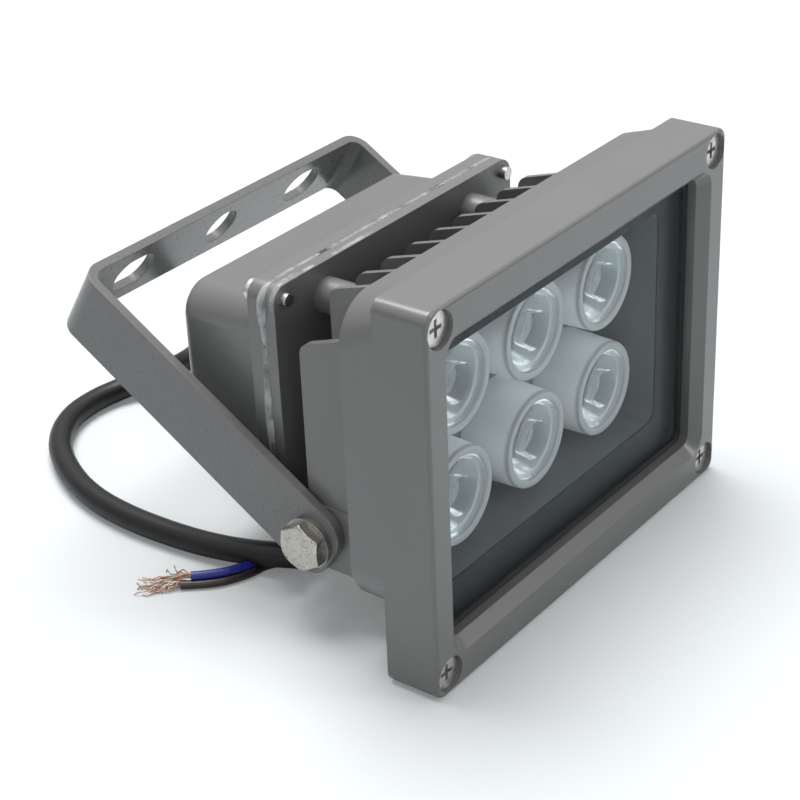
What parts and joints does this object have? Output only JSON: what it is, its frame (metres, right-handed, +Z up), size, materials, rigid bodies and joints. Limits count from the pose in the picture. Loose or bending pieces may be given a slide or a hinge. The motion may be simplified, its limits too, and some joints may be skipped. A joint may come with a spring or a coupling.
{
  "type": "infrared illuminator",
  "caption": "Die-cast infrared flood lamp: bevelled bezel and pane over lenses in white holders, finned housing, rear driver box and tilting yoke.",
  "frame": {"origin": "middle of the bezel's foot, half its depth behind its front face", "axes": "+Z up, -Y the way the lamp shines, +X across the lamp; the yoke leans back towards +Y"},
  "size_m": [0.1218, 0.153, 0.089],
  "materials": {
    "casting_paint": "satin grey paint on die-cast aluminium",
    "bracket_paint": "glossy grey paint on steel strip",
    "black_rubber": "matte",
    "window_glass": "clear, flat",
    "mask_print": "dark printed border",
    "clear_sealant": "translucent silicone, squeezed out",
    "board_white": "light grey solder mask on an aluminium board",
    "board_green": "green glass-fibre board",
    "coil_yellow": "ferrite core with yellow tape",
    "can_sleeve": "sleeved can",
    "lead_red": "wire insulation",
    "gland_plastic": "black nylon",
    "nickel_steel": "nickel-plated, slightly speckled",
    "spring_steel": "zinc-plated",
    "screw_steel": "bright, turned head",
    "zinc_steel": "zinc-plated",
    "led_chip": "clear dome on a white base",
    "lens_clear": "clear moulded collimator",
    "holder_white": "translucent white",
    "cord_jacket": "black, satin",
    "core_blue": "blue insulation",
    "core_brown": "dark brown insulation",
    "bare_copper": "bare copper strands"
  },
  "bodies": {
    "head": {"front_bezel": "casting_paint", "heat_sink_housing": "casting_paint", "rear_plate": "casting_paint", "driver_box": "casting_paint", "glass_seal": "black_rubber", "box_gasket": "black_rubber", "gland_bush_seal": "black_rubber", "glass_pane": "window_glass", "window_mask": "mask_print", "sealant_bead": "clear_sealant", "led_board": "board_white", "driver_board": "board_green", "transformer": "coil_yellow", "capacitor": "can_sleeve", "led_leads": "lead_red", "cable_gland": "gland_plastic", "gland_nut": "gland_plastic", "pivot_bolt_left": "nickel_steel", "pivot_bolt_right": "nickel_steel", "spring_washer_left": "spring_steel", "spring_washer_right": "spring_steel", "power_cord": "cord_jacket", "core_blue": "core_blue", "core_brown": "core_brown", "copper_blue": "bare_copper", "copper_brown": "bare_copper", "bezel_screw_1": "screw_steel", "bezel_screw_2": "screw_steel", "bezel_screw_3": "screw_steel", "bezel_screw_4": "screw_steel", "box_screw_1": "zinc_steel", "box_screw_2": "zinc_steel", "box_screw_3": "zinc_steel", "box_screw_4": "zinc_steel", "plate_screw_1": "zinc_steel", "plate_screw_2": "zinc_steel", "plate_screw_3": "zinc_steel", "plate_screw_4": "zinc_steel", "led_1": "led_chip", "led_2": "led_chip", "led_3": "led_chip", "led_4": "led_chip", "led_5": "led_chip", "led_6": "led_chip", "lens_1": "lens_clear", "lens_2": "lens_clear", "lens_3": "lens_clear", "lens_4": "lens_clear", "lens_5": "lens_clear", "lens_6": "lens_clear", "lens_holder_1": "holder_white", "lens_holder_2": "holder_white", "lens_holder_3": "holder_white", "lens_holder_4": "holder_white", "lens_holder_5": "holder_white", "lens_holder_6": "holder_white"},
    "yoke": {"mounting_bracket": "bracket_paint"}
  },
  "joints": [
    {"name": "yoke_tilt", "type": "hinge", "parent": "head", "child": "yoke", "pos_m": [0, 0.0325, 0.0218], "axis": [1, 0, 0], "range_deg": [-15, 63]}
  ]
}
